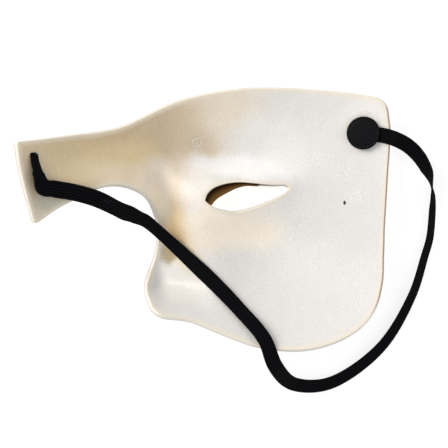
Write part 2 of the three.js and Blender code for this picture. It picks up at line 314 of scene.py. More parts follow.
@dataclass(frozen=True)
class CreamPlastic(Finish):
    """Moulded cream plastic, finely pebbled inside and plain outside, with broad pools of yellowing mixed with
    painted shade and painted light, and painted highlights and painted shade at its edges.
    """

    name: str = "cream_plastic"
    slot: str = "cream_plastic"
    pale: Colour = shade(229, 226, 221)
    outside: Colour = shade(233, 226, 211)
    # The edges' colours: a pale band along them is a painted highlight, the walls a little darker and a brown
    # arris line are painted shade, a pale band on the wall over the eye hole is a painted highlight, and the
    # dark line and the browns under the eye hole's lid are painted shade and painted shadow.
    rim: Colour = shade(238, 227, 207)
    wall: Colour = shade(224, 219, 211)
    arris: Colour = shade(158, 134, 106)
    eye_wall_highlight: Colour = shade(250, 244, 236)
    lid_shade_line: Colour = shade(84, 68, 50)
    lid_shadow_dark: Colour = shade(36, 19, 5)
    lid_shadow_light: Colour = shade(128, 94, 52)
    speck: Colour = shade(20, 15, 12)
    mottle: Colour = shade(176, 160, 132)
    glint: Colour = shade(255, 253, 250)
    marks: SurfaceMarks = field(kw_only=True)
    roughness: float = 0.36
    dullness: Pair = (0.08, 0.12)
    bump_strength: float = 0.7
    bump_height: float = 0.0004
    edge_highlight_width: float = 2.9
    edge_highlight_ruffle: float = 0.8
    edge_highlight_strength: float = 0.8
    right_range: Pair = (0.75, 0.3)
    right_edge_shade_strength: float = 0.85
    wall_shade_range: Pair = (0.1, 0.5)
    arris_shade_range: Pair = (0.55, 0.9)
    arris_shade_strength: float = 0.75
    outer_range: Pair = (0.92, 1.0)
    cut_range: Pair = (0.02, 0.08)
    over_range: Pair = (0.1, 0.4)
    lid_shade_line_range: Pair = (0.6, 0.4)
    lid_shadow_start: Pair = (0.02, 0.1)
    lid_range: Pair = (0.15, 0.4)
    lid_shadow_tones: Pair = (0.1, 0.95)
    lid_shadow_roughness: float = 0.8
    cloud_size: float = 0.012
    ruffle: float = 0.008
    mottle_size: float = 0.0009
    dark_mottle: Ramp = (0.55, 0.25, 0.0, 0.14)
    light_mottle: Ramp = (0.5, 0.8, 0.0, 0.22)
    glint_size: float = 0.0007
    glint_range: Pair = (0.58, 0.68)
    ring_glint: Ramp = (0.0004, 0.0001, 0.0, 0.6)
    ring_groove: Pair = (0.0001, 0.00045)
    ring_depth: float = 1.3
    inside_range: Pair = (0.0, 0.2)
    outside_relief: float = 0.2
    smooth_relief: float = 0.35
    pebble_size: float = 0.0011
    pebble_share: float = 0.45
    dimples_per_metre: float = 900.0
    dimple_softness: float = 0.5
    dimple_share: float = 0.4
    patch_size: float = 0.014
    patch_range: Pair = (0.42, 0.62)
    wave_size: float = 0.009
    wave_share: float = 1.2

    def build(self) -> bpy.types.Material:
        """Make the material.

        Returns:
            The material.
        """
        material, graph, place = self.start()
        wall, lid, gap, over, right = map(
            graph.attribute, ("wall_depth", "lid", "edge_gap", "eye_wall_shade_and_highlight", "right_side")
        )
        ramp, blend = graph.ramp, graph.blend
        cloud = graph.noise(place, self.cloud_size, 3.0) - 0.5
        within_wall = 1 - ramp(wall, *self.outer_range)
        cut = ramp(wall, *self.cut_range) * within_wall
        # A pale band along the outline and the eye hole: painted highlight where the rounded edges catch the
        # light.
        edge_highlight = ramp(gap + self.edge_highlight_ruffle * cloud, self.edge_highlight_width, 0.1 * self.edge_highlight_width)
        colour = blend(edge_highlight * self.edge_highlight_strength, self._inside(place, cloud), self.rim)
        colour = self._specks(place, colour)
        for amount, tone in (
            # The edge walls a little darker: painted shade.
            (ramp(wall, *self.wall_shade_range), self.wall),
            # A brown line along the right edge: painted shade on the wall's far side.
            (ramp(gap, *self.right_range) * right * self.right_edge_shade_strength, self.arris),
            # A brown line along the walls' outer arris: painted shade.
            (ramp(wall, *self.arris_shade_range) * within_wall * self.arris_shade_strength, self.arris),
            # A pale band on the wall over the eye hole: painted highlight.
            (ramp(over, *self.over_range) * cut, self.eye_wall_highlight),
            # A dark line on that wall near the inner face: painted shade.
            (over * cut * ramp(wall, *self.lid_shade_line_range), self.lid_shade_line),
            (1 - within_wall, self.outside),
        ):
            colour = blend(amount, colour, tone)
        pebble, height = self._relief(place, wall)
        plain = self.grained(colour, pebble, height, self.bump_height)
        # Under the eye hole's lid the wall takes a dull dark brown shader: painted shadow, darkest by the
        # inner face.
        lid_shadow_colour = blend(ramp(wall, *self.lid_shadow_tones), self.lid_shadow_dark, self.lid_shadow_light)
        shaded = graph.shader(lid_shadow_colour, self.lid_shadow_roughness, 0.0)
        lid_shadow_amount = ramp(wall, *self.lid_shadow_start) * within_wall * ramp(lid, *self.lid_range)
        sockets = {0: lid_shadow_amount, 1: plain, 2: shaded}
        self.close(graph.node("ShaderNodeMixShader", None, sockets)["Shader"])
        return material

    def _inside(self, place: Value, cloud: Value) -> Value:
        """Colour the inner face: pale plastic with its pools of yellowing, painted shade and painted light, a
        fine mottle and painted glints on its pebbles.

        Args:
            place: The coordinates, in metres.
            cloud: Soft noise round 0, which ruffles the pools.

        Returns:
            The colour.
        """
        graph = place.graph
        axes = graph.node("ShaderNodeSeparateXYZ", None, {"Vector": place})
        across = axes["X"] + self.ruffle * cloud, axes["Y"] - self.ruffle * cloud
        colour: Colour | Value = self.pale
        # Pools of yellowing together with painted shade and painted light.
        for tint in self.marks.tints:
            colour = graph.blend(tint.amount(*across), colour, tint.colour)
        fine = graph.noise(place, self.mottle_size, 3.0, 0.6)
        colour = graph.blend(graph.ramp(fine, *self.dark_mottle), colour, self.mottle)
        colour = graph.blend(graph.ramp(fine, *self.light_mottle), colour, self.glint)
        # Painted glints: pale flecks on the pebbles in a few zones, standing in for highlights.
        glints: Value | float = 0.0
        for zone in self.marks.glints:
            glints = graph.math("MAXIMUM", glints, zone.amount(*across))
        pebbles = graph.ramp(graph.noise(place, self.glint_size, 1.0), *self.glint_range)
        return graph.blend(pebbles * glints, colour, self.glint)

    def _from_ring(self, place: Value) -> Value:
        """Give the distance from the ring that an ejector pin left."""
        distance = place.graph.vector("DISTANCE", place, self.marks.pin, output="Value")
        return abs(distance - self.marks.pin_radius)

    def _specks(self, place: Value, colour: Value) -> Value:
        """Add the pin's ring, painted pale as a highlight, and the dark specks of dirt.

        Args:
            place: The coordinates, in metres.
            colour: The colour that they lie on.

        Returns:
            The colour with its marks.
        """
        graph = place.graph
        # The pin's ring painted pale: a painted highlight.
        colour = graph.blend(graph.ramp(self._from_ring(place), *self.ring_glint), colour, self.glint)
        for speck in self.marks.specks:
            centre = tuple(c * k for c, k in zip(speck.centre, speck.stretch))
            stretched = graph.vector("MULTIPLY", place, speck.stretch)
            distance = graph.vector("DISTANCE", stretched, centre, output="Value")
            amount = graph.ramp(distance, speck.radius, 0.5 * speck.radius, 0.0, speck.strength)
            colour = graph.blend(amount, colour, self.speck)
        return colour

    def _relief(self, place: Value, wall: Value) -> tuple[Value, Value]:
        """Make the pebbled relief with the pin's ring.

        Args:
            place: The coordinates, in metres.
            wall: The depth through the wall, from 0 on the inner face.

        Returns:
            The pebbles alone and the whole relief's height.
        """
        graph = place.graph
        ring = 1 - graph.ramp(self._from_ring(place), *self.ring_groove)
        inside = 1 - graph.ramp(wall, *self.inside_range)
        pebble = graph.noise(place, self.pebble_size, 2.0, 0.6)
        cells = {"Vector": place, "Scale": self.dimples_per_metre, "Smoothness": self.dimple_softness}
        dimple = graph.node("ShaderNodeTexVoronoi", {"feature": "SMOOTH_F1"}, cells)["Distance"]
        patch = graph.ramp(graph.noise(place, self.patch_size, 2.0), *self.patch_range)
        rough = self.smooth_relief + (1 - self.smooth_relief) * patch
        depth = self.outside_relief + (1 - self.outside_relief) * inside * rough
        pebbled = (self.pebble_share * pebble + self.dimple_share * dimple) * depth
        waves = graph.noise(place, self.wave_size, 1.0)
        return pebble, pebbled + self.wave_share * waves - self.ring_depth * ring * inside


@dataclass(frozen=True)
class BlackPlastic(Finish):
    """The disc's moulded black plastic."""

    name: str = "black_plastic"
    slot: str = "black_plastic"
    dullness: Pair = (0.05, 0.08)
    specular: float = 0.12
    bump_strength: float = 0.4
    black: Colour = shade(5, 6, 8)
    worn: Colour = shade(14, 15, 18)
    wear: float = 0.5
    grain_size: float = 0.0005
    grain_height: float = 0.00006
    scuff_size: float = 0.003
    scuff_range: Pair = (0.52, 0.72)

    def build(self) -> bpy.types.Material:
        """Make the material.

        Returns:
            The material.
        """
        material, graph, place = self.start()
        grain = graph.noise(place, self.grain_size, 3.0)
        scuff = graph.ramp(graph.noise(place, self.scuff_size, 4.0, 0.65), *self.scuff_range)
        colour = graph.blend(scuff * self.wear, self.black, self.worn)
        self.close(self.grained(colour, grain, grain, self.grain_height))
        return material


@dataclass(frozen=True)
class BlackElastic(Finish):
    """Woven black elastic, ribbed along its length, with painted sheen on the ribs' crests and painted shade
    in their grooves.
    """

    name: str = "black_elastic"
    slot: str = "black_elastic"
    roughness: float = 0.82
    specular: float = 0.05
    bump_strength: float = 0.6
    # Lighter crests and black grooves on the ribs: painted sheen and painted shade.
    thread: Colour = shade(22, 22, 26)
    groove_shade: Colour = shade(0, 0, 0)
    lint: Colour = shade(60, 60, 64)
    lint_range: Ramp = (0.68, 0.8, 0.0, 0.35)
    pick_spacing: float = 0.00055
    pick_share: float = 0.45
    weave_height: float = 0.00012
    fuzz_size: float = 0.0004
    creases: tuple[Place, ...] = ((0.3215, 0.0008, 0.0021), (0.3195, 0.0019, 0.0012))
    crease_width: float = 0.00011
    crease_wander: float = 0.00035
    crease_turns: float = 5.0
    crease_ends: Pair = (1.0, 0.7)
    crease_sides: Pair = (1.0, 0.3)

    def build(self) -> bpy.types.Material:
        """Make the material.

        Returns:
            The material.
        """
        material, graph, place = self.start()
        weave = graph.attribute("weave", "Vector")
        parts = graph.node("ShaderNodeSeparateXYZ", None, {"Vector": weave})
        along, across, rib = (parts[axis] for axis in "XYZ")
        picks = graph.math("SINE", along * (2 * math.pi / self.pick_spacing)) * 0.5 + 0.5
        fuzz = graph.noise(place, self.fuzz_size, 3.0, 0.7)
        woven = 1 - self.pick_share + self.pick_share * picks
        # Lighter crests and black grooves along the ribs: painted sheen and painted shade.
        colour = graph.blend(rib * woven, self.groove_shade, self.thread)
        colour = graph.blend(graph.ramp(fuzz, *self.lint_range), colour, self.lint)
        for start, offset, length in self.creases:
            middle = (along - start) / length
            wander = self.crease_wander * graph.math("SINE", middle * self.crease_turns)
            thread = abs(across - offset - wander) / self.crease_width
            mark = graph.ramp(abs(middle), *self.crease_ends) * graph.ramp(thread, *self.crease_sides)
            colour = graph.blend(mark, colour, self.lint)
        height = 0.6 * picks * rib + 0.5 * fuzz
        self.close(self.grained(colour, fuzz, height, self.weave_height))
        return material


@dataclass(frozen=True)
class PaleTable(Finish):
    """The plain pale surface that the mask lies on."""

    name: str = "pale_table"
    slot: str = ""
    white: Colour = shade(150, 150, 150)
    shaded: Colour = shade(144, 144, 146)
    roughness: float = 0.9
    specular: float = 0.1
    patch_size: float = 0.3
    patches: Ramp = (0.3, 0.7, 0.0, 0.03)
    glow: float = 0.78

    def build(self) -> bpy.types.Material:
        """Make the material.

        Returns:
            The material.
        """
        material, graph, place = self.start()
        tone = graph.ramp(graph.noise(place, self.patch_size, 1.0), *self.patches)
        colour = graph.blend(tone, self.white, self.shaded)
        glow = {"Emission Color": (1.0, 1.0, 1.0, 1.0), "Emission Strength": self.glow}
        self.close(graph.shader(colour, self.roughness, self.specular, **glow))
        return material


@dataclass(frozen=True)
class Speck:
    """A small dark speck of dirt."""

    centre: Place
    radius: float
    strength: float
    stretch: Place = (1.0, 1.0, 1.0)


@dataclass(frozen=True)
class SurfaceMarks:
    """The shell's coloured areas of yellowing, painted shade and painted light, its zones of painted glints
    and its small marks, in metres in the row frame.
    """

    pin: Place
    specks: tuple[Speck, ...]
    tints: tuple[Tint, ...]
    glints: tuple[Tint, ...]
    pin_radius: float = 0.0021


# The face's surface


@dataclass(frozen=True)
class LeanBack:
    """A profile that curves back from a line up or down the face, in millimetres."""

    start: float
    radius: float
    soft: float

    def lean(self, past: np.ndarray) -> np.ndarray:
        """Give how far the face has curved back at distances past the line."""
        return larger(past, 0, self.soft) ** 2 / (2 * self.radius)


@dataclass(frozen=True)
class Swell:
    """A smooth swelling or hollow of the face, in millimetres."""

    x: float
    y: float
    half_width: float
    half_height: float
    height: float

    def rise(self, side: np.ndarray, y: np.ndarray) -> np.ndarray:
        """Give how high it stands at places to the side and up."""
        return self.height * bell((side - self.x) / self.half_width) * bell((y - self.y) / self.half_height)


class Edge(Enum):
    """The shell's cut edges."""

    OUTLINE = "outline"
    EYE_HOLE = "eye hole"
    UPPER_SLOT = "upper slot"
    LOWER_SLOT = "lower slot"


def bell(t: np.ndarray) -> np.ndarray:
    """Give a bell curve of height 1."""
    return np.exp(-t * t)


def larger(a: np.ndarray | float, b: np.ndarray | float, soft: float) -> np.ndarray:
    """Give the larger of two values, with a soft change between them."""
    return 0.5 * (a + b + np.hypot(a - b, soft))


def smooth(start: float, end: float, t: np.ndarray | float) -> np.ndarray:
    """Rise smoothly from 0 at start to 1 at end."""
    u = np.clip((t - start) / (end - start), 0, 1)
    return u * u * (3 - 2 * u)


@dataclass(frozen=True)
class FaceSurface:
    """The shell's inner face as a height over the plane of the face, in millimetres."""

    head_radius: float = 145.0
    midline_rounding: float = 0.1
    forehead: LeanBack = LeanBack(14.0, 66.0, 8.0)
    cheek: LeanBack = LeanBack(-26.0, 75.0, 8.0)
    brow_y: float = 15.0
    brow_arch: float = 4.0
    brow_span: float = 62.0
    brow_height: float = 3.5
    brow_width: float = 9.0
    brow_fade: Pair = (44.0, 74.0)
    socket: Swell = Swell(34.0, 0.0, 24.0, 13.0, 7.0)
    socket_slant: float = 0.12
    socket_powers: Pair = (2.6, 2.2)
    cheekbone: Swell = Swell(50.0, -27.0, 24.0, 17.0, 4.5)
    nose_root: Pair = (2.0, 7.0)
    nose_slope: float = 0.34
    nose_base: float = -53.0
    nose_under: float = 2.0
    nose_round: float = 9.0
    nose_soft: float = 3.0
    nose_width: Pair = (7.5, 4.2)
    nose_span: Pair = (8.0, -42.0)
    nostril: Swell = Swell(12.0, -41.0, 5.5, 7.0, 4.0)
    slope_step: float = 0.05

    def height(self, x: np.ndarray, y: np.ndarray) -> np.ndarray:
        """Give the inner face's height.

        Args:
            x: Distances towards the wearer's right.
            y: Distances up from the line of the eyes.

        Returns:
            The heights towards the wearer.
        """
        side = np.hypot(x, self.midline_rounding)
        z = self.head_radius - np.sqrt(self.head_radius**2 - side**2)
        z = z + self.forehead.lean(y - self.forehead.start) + self.cheek.lean(self.cheek.start - y)
        brow = self.brow_y + self.brow_arch * np.sin(np.minimum(side / self.brow_span, 1) * np.pi)
        z = z - self.brow_height * bell((y - brow) / self.brow_width) * (1 - smooth(*self.brow_fade, side))
        pit = self.socket
        across = np.abs((side - pit.x) / pit.half_width) ** self.socket_powers[0]
        down = np.abs((y - self.socket_slant * (side - pit.x)) / pit.half_height) ** self.socket_powers[1]
        z = z + pit.height * np.exp(-across - down)
        half = self.nose_width[0] + self.nose_width[1] * smooth(*self.nose_span, y)
        ridge = self._nose_ridge(y) * bell(side / half)
        return z - ridge - self.cheekbone.rise(side, y) - self.nostril.rise(side, y)

    def _nose_ridge(self, y: np.ndarray) -> np.ndarray:
        """Give the height of the nose's ridge.

        Args:
            y: Distances up from the line of the eyes.

        Returns:
            The heights, away from the wearer.
        """
        line = self.nose_root[1] - self.nose_slope * (y - self.nose_root[0])
        underside = self.nose_under * (y - self.nose_base)
        return larger(-larger(-line, -underside, self.nose_round), 0, self.nose_soft)

    def point(self, xy: np.ndarray) -> np.ndarray:
        """Give points on the inner face."""
        return np.column_stack([xy, self.height(xy[:, 0], xy[:, 1])])

    def normal(self, xy: np.ndarray) -> np.ndarray:
        """Give the inner face's normals.

        Args:
            xy: Points in the plane of the face.

        Returns:
            The unit normals, pointing to the wearer.
        """
        x, y, d = xy[:, 0], xy[:, 1], self.slope_step
        slope_x = (self.height(x + d, y) - self.height(x - d, y)) / (2 * d)
        slope_y = (self.height(x, y + d) - self.height(x, y - d)) / (2 * d)
        normal = np.column_stack([-slope_x, -slope_y, np.ones(len(xy))])
        return normal / np.linalg.norm(normal, axis=1)[:, None]

    def unrolled(self, xy: np.ndarray) -> np.ndarray:
        """Lay points of the face flat along the head's horizontal curve."""
        return np.column_stack([self.head_radius * np.arcsin(xy[:, 0] / self.head_radius), xy[:, 1]])

    def rolled(self, flat: np.ndarray) -> np.ndarray:
        """Bring flat points back to the face."""
        return np.column_stack([self.head_radius * np.sin(flat[:, 0] / self.head_radius), flat[:, 1]])


@dataclass(frozen=True)
class RestPose:
    """How the mask rests on its brow, cheekbone and nose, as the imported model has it."""

    pitch: float = -3.3
    roll: float = 23.85
    position: Place = (-21.45, 9.684, 17.245)

    def matrix(self) -> np.ndarray:
        """Give the rotation from the face's frame to the row frame.

        Returns:
            The rotation as a 3 by 3 matrix.
        """
        p, r = math.radians(self.pitch), math.radians(self.roll)
        about_x = np.array([[1, 0, 0], [0, math.cos(p), -math.sin(p)], [0, math.sin(p), math.cos(p)]])
        about_y = np.array([[math.cos(r), 0, math.sin(r)], [0, 1, 0], [-math.sin(r), 0, math.cos(r)]])
        return about_y @ about_x

    def place(self, points: np.ndarray) -> np.ndarray:
        """Take points in millimetres in the face's frame to metres in the row frame."""
        return (points @ self.matrix().T + np.array(self.position)) * MILLIMETRE


# Pieces


def make_object(name: str, points: np.ndarray, faces: Sequence[Sequence[int]]) -> bpy.types.Object:
    """Make a mesh object at the origin with smooth shading.

    Args:
        name: The piece's name.
        points: Its vertices, in metres in the row frame.
        faces: Its faces, as numbers of vertices.

    Returns:
        The object, linked to the scene.
    """
    mesh = bpy.data.meshes.new(name)
    mesh.from_pydata([tuple(p) for p in points], [], [tuple(f) for f in faces])
    mesh.shade_smooth()
    mesh.validate()
    made = bpy.data.objects.new(name, mesh)
    bpy.context.scene.collection.objects.link(made)
    return made


def applied(source: bpy.types.Object, name: str) -> bpy.types.Object:
    """Turn an object with modifiers into a plain mesh object, and remove the first.

    Args:
        source: The object with modifiers.
        name: The new object's name.

    Returns:
        The new object.
    """
    evaluated = source.evaluated_get(bpy.context.evaluated_depsgraph_get())
    mesh = bpy.data.meshes.new_from_object(evaluated)
    mesh.name = name
    bpy.data.objects.remove(source)
    made = bpy.data.objects.new(name, mesh)
    bpy.context.scene.collection.objects.link(made)
    return made


def cubic(ends: Sequence[np.ndarray], rates: Sequence[np.ndarray], t: np.ndarray) -> np.ndarray:
    """Draw a smooth line between two points.

    Args:
        ends: The two points.
        rates: The line's rates there.
        t: Where on the line, 0 to 1.

    Returns:
        The line's points.
    """
    (start, end), (leave, arrive) = ends, rates
    bends = (2 * start - 2 * end + leave + arrive) * t**3 + (-3 * start + 3 * end - 2 * leave - arrive) * t**2
    return bends + leave * t + start


@dataclass(frozen=True)
class Run:
    """A smooth run of a cut edge and the corner that leads to the next one."""

    points: tuple[Pair, ...]
    corner: Pair
    steps: int = 24

    def trace(self) -> np.ndarray:
        """Draw the run as close points.

        Returns:
            The points, without the run's last one.
        """
        around = np.array([self.points[0], *self.points, self.points[-1]])
        t = np.linspace(0, 1, self.steps)[:-1, None]
        sides = zip(around, around[1:], around[2:], around[3:])
        return np.vstack([cubic((b, c), (0.5 * (c - a), 0.5 * (d - b)), t) for a, b, c, d in sides])


@dataclass(frozen=True)
class CutPath:
    """A closed cut edge made of runs, in millimetres in the plane of the face."""

    runs: tuple[Run, ...]
    corner_steps: int = 40

    def trace(self, step: float) -> np.ndarray:
        """Give the edge as points an even distance apart.

        Args:
            step: The distance between points.

        Returns:
            The points, without the first one again at the end.
        """
        fine: list[np.ndarray] = []
        t = np.linspace(0, 1, self.corner_steps)[:-1, None]
        for run, following in zip(self.runs, self.runs[1:] + self.runs[:1]):
            start, corner, end = (np.array(p) for p in (run.points[-1], run.corner, following.points[0]))
            fine += [run.trace(), (1 - t) ** 2 * start + 2 * t * (1 - t) * corner + t * t * end]
        return even_loop(np.vstack(fine), step)


def even_loop(points: np.ndarray, step: float) -> np.ndarray:
    """Space the points of a closed line evenly.

    Args:
        points: The line's points.
        step: The distance wanted between points.

    Returns:
        The evenly spaced points.
    """
    closed = np.vstack([points, points[:1]])
    length = np.concatenate([[0], np.cumsum(np.linalg.norm(np.diff(closed, axis=0), axis=1))])
    count = max(LEAST_POINTS, round(length[-1] / step))
    at = np.linspace(0, length[-1], count + 1)[:-1]
    return np.column_stack([np.interp(at, length, closed[:, k]) for k in range(closed.shape[1])])


def signed_area(loop: np.ndarray) -> float:
    """Give a loop's area, positive where it runs anticlockwise."""
    after = np.roll(loop, -1, axis=0)
    return float(0.5 * np.sum(loop[:, 0] * after[:, 1] - after[:, 0] * loop[:, 1]))


def within(points: np.ndarray, loop: np.ndarray) -> np.ndarray:
    """Tell which points lie inside a loop.

    Args:
        points: The points.
        loop: The loop's points in order.

    Returns:
        True for each point inside.
    """
    odd = np.zeros(len(points), bool)
    px, py = points.T
    for (ax, ay), (bx, by) in zip(loop, np.roll(loop, -1, axis=0)):
        if ay != by:
            odd ^= ((ay > py) != (by > py)) & (px < ax + (bx - ax) * (py - ay) / (by - ay))
    return odd


def on_sheet(points: np.ndarray, loops: Sequence[np.ndarray]) -> np.ndarray:
    """Tell which points lie inside the first loop and outside the others."""
    inside = [within(points, loop) for loop in loops]
    return inside[0] & ~np.any(inside[1:], axis=0)


def distances(points: np.ndarray, others: np.ndarray) -> np.ndarray:
    """Measure from every point to every other one."""
    return np.linalg.norm(points[:, None, :] - others[None, :, :], axis=2)


OUTLINE = CutPath(
    (
        Run(
            (
                (-71.8, 20.3), (-58.7, 23), (-46, 25.7), (-34.7, 27.8), (-23.9, 30.7), (-14.9, 35),
                (-6.4, 39.4), (1.4, 43), (9.8, 45.6), (20.7, 48), (33.6, 49.8), (47.4, 50.1), (63.3, 49.1),
                (78, 47.1), (89.4, 44.4),
            ),
            (93.9, 42.7),
        ),
        Run(
            (
                (95, 37), (96.5, 28.5), (96.5, 19), (95.8, 8), (95, -4), (94.2, -16), (93.6, -28),
                (92.2, -41), (88, -53), (80.5, -62), (68.5, -68.6), (53, -71.6), (35, -69.2), (19, -62.6),
                (7, -57.2), (-3, -55.4),
            ),
            (-8.6, -54.6),
        ),
        Run(
            (
                (-10, -49.8), (-8.4, -43), (-4.8, -36), (-2, -29.5), (-0.9, -22.5), (-1.1, -15), (-3, -8.7),
                (-7.6, -3.1), (-14.7, 1.5), (-21.7, 3.9), (-28.8, 4.3), (-36.2, 2.4), (-45, -1.9),
                (-54, -6.6), (-62.4, -12.3),
            ),
            (-64.9, -14.1),
        ),
        Run(((-65.5, -11.9), (-68.1, -4.4), (-70.2, 3.1), (-71.9, 10.4), (-73, 18.4)), (-73.3, 20.1)),
    )
)

EYE_HOLE = CutPath(
    (
        Run(
            (
                (15.9, -1.6), (17, 1.4), (20.4, 4.2), (26, 6), (32.3, 6.5), (39.5, 5.8), (46.5, 5.1),
                (52.6, 5.2),
            ),
            (54.8, 4.9),
        ),
        Run(
            ((55.5, 3.6), (53.6, 1.6), (48.6, -1.1), (41, -4.7), (33.6, -7.1), (27.5, -7.5), (21.5, -6)),
            (17.2, -4.2),
        ),
    )
)


@dataclass(frozen=True)
class Slot:
    """A narrow slot through the band, in millimetres in the plane of the face."""

    x: float
    y: float
    length: float
    width: float


@dataclass(frozen=True)
class Layer:
    """Points of the shell at one depth, with the amounts of the lid's painted shadow and of the painted shade
    line and painted highlight over the eye hole on them, 0 to 1.
    """

    flat: np.ndarray
    depth: float
    shadow: np.ndarray | float = 0.0
    line: np.ndarray | float = 0.0


@dataclass
class MaskShell:
    """The moulded shell: an inner and an outer face, with rounded edges all round and at its holes."""

    surface: FaceSurface
    pose: RestPose
    wall: float = 2.4
    arris: float = 0.55
    arris_steps: int = 4
    grid: float = 1.35
    edge_step: float = 0.9
    eye_step: float = 0.55
    slot_step: float = 0.3
    upper_slot: Slot = Slot(-64.95, 15.5, 4.0, 1.9)
    lower_slot: Slot = Slot(-62.1, 2.1, 4.5, 2.4)
    lid_lip: Place = (5.2, -4.3, -4.6)
    lid_facing: Pair = (-0.8, 0.6)
    lid_range: Pair = (0.4, 0.9)
    lid_fade: Pair = (34.0, 46.0)
    lid_reach: float = 9.0
    lid_blur: int = 6
    clear_of_edge: float = 0.42
    tolerance: float = 1e-7
    over_range: Pair = (0.5, 0.9)
    shade_fade: Pair = (35.0, 44.0)
    line_fade: Pair = (36.0, 56.0)
    right_range: Pair = (0.7, 0.95)
    edges: dict[Edge, np.ndarray] = field(default_factory=dict)

    def make(self, marks: SurfaceMarks) -> bpy.types.Object:
        """Build the shell and dress it.

        Args:
            marks: Where its small marks are.

        Returns:
            The finished piece.
        """
        traced = {
            Edge.OUTLINE: OUTLINE.trace(self.edge_step),
            Edge.EYE_HOLE: EYE_HOLE.trace(self.eye_step),
            Edge.UPPER_SLOT: self._slot_loop(self.upper_slot),
            Edge.LOWER_SLOT: self._slot_loop(self.lower_slot),
        }
        for edge, loop in traced.items():
            flat = self.surface.unrolled(loop)
            anticlockwise = signed_area(flat) > 0
            self.edges[edge] = flat if anticlockwise == (edge is Edge.OUTLINE) else flat[::-1]
        sheet, faces = self._sheet([loop + self.arris * self._inward(loop) for loop in self.edges.values()])
        count, first = len(sheet), 0
        layers = [Layer(sheet, 0.0), Layer(sheet, self.wall)]
        total = 2 * count
        faces += [(count + a, count + c, count + b) for a, b, c in faces]
        for edge, loop in self.edges.items():
            size = len(loop)
            rows = [first + np.arange(size)]
            for layer in self._rim(edge, loop):
                layers.append(layer)
                rows.append(total + np.arange(size))
                total += size
            rows.append(count + rows[0])
            for above, below in zip(rows, rows[1:]):
                faces += zip(above, below, np.roll(below, -1), np.roll(above, -1))
            first += size
        points = np.vstack([self._sunk(layer.flat, layer.depth) for layer in layers])
        made = make_object("mask_skin", self.pose.place(points), faces)
        self._note(made.data, layers, count)
        finish = CreamPlastic(marks=marks)
        made.data.materials.append(finish.build())
        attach(made, BODY)
        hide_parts("mask_shell")
        return made

    def _rim(self, edge: Edge, loop: np.ndarray) -> list[Layer]:
        """Make the points of a rounded edge.

        Args:
            edge: Which edge it is.
            loop: Its flat points.

        Returns:
            The layers from the inner face to the outer one.
        """
        way, across = self._inward(loop), self.surface.rolled(loop)[:, 0]
        over = smooth(*self.over_range, way[:, 1]) if edge is Edge.EYE_HOLE else np.zeros(len(loop))
        # How much painted shadow of the lid, and how much painted shade line and painted highlight, the wall
        # over the eye hole carries.
        shadow = over * (1 - smooth(*self.shade_fade, across))
        line = over * (1 - 0.5 * smooth(*self.line_fade, across))
        return [Layer(loop + reach * way, depth, shadow, line) for reach, depth in self._rim_profile()]

    def _note(self, mesh: bpy.types.Mesh, layers: Sequence[Layer], count: int) -> None:
        """Store on the mesh what its material reads.

        Args:
            mesh: The shell's mesh.
            layers: Its layers of points.
            count: How many points the inner and the outer face have each.
        """
        gaps, rights = self._edge_gap(np.vstack([layer.flat for layer in layers[1:]]))
        gaps[count:] = 0.0
        # The material draws the lid's painted shadow, the painted shade line and highlight over the eye hole,
        # the painted highlight along the edges and the painted shade at the right edge from these.
        notes = {
            "wall_depth": [np.full(len(layer.flat), layer.depth / self.wall) for layer in layers],
            "lid": [np.maximum(self._lid_field(layer.flat), layer.shadow) for layer in layers],
            "edge_gap": [gaps[:count], gaps],
            "right_side": [rights[:count], rights],
            "eye_wall_shade_and_highlight": [layer.line * np.ones(len(layer.flat)) for layer in layers],
        }
        for name, parts in notes.items():
            stored = mesh.attributes.new(name, "FLOAT", "POINT")
            stored.data.foreach_set("value", np.concatenate(parts).astype(np.float32))

    def _slot_loop(self, slot: Slot) -> np.ndarray:
        """Trace a slot with round ends, its length across the strap that passes through it.

        Args:
            slot: The slot.

        Returns:
            The slot's edge in the plane of the face.
        """
        upper, lower = self.upper_slot, self.lower_slot
        across = math.atan2(upper.y - lower.y, upper.x - lower.x) - math.pi / 2
        half = (slot.length - slot.width) / 2
        parts = []
        for end in (1, -1):
            middle = np.array([slot.x, slot.y]) + end * half * np.array([math.cos(across), math.sin(across)])
            turn = across - end * math.pi / 2 + np.linspace(0, math.pi, 24)
            parts.append(middle + slot.width / 2 * np.column_stack([np.cos(turn), np.sin(turn)]))
        return even_loop(np.vstack(parts), self.slot_step)

    @staticmethod
    def _inward(loop: np.ndarray) -> np.ndarray:
        """Give the directions from an edge into the sheet.

        Args:
            loop: The edge's flat points, with the sheet on their left.

        Returns:
            A unit direction for each point.
        """
        along = np.roll(loop, -1, axis=0) - np.roll(loop, 1, axis=0)
        along /= np.linalg.norm(along, axis=1)[:, None]
        return np.column_stack([-along[:, 1], along[:, 0]])

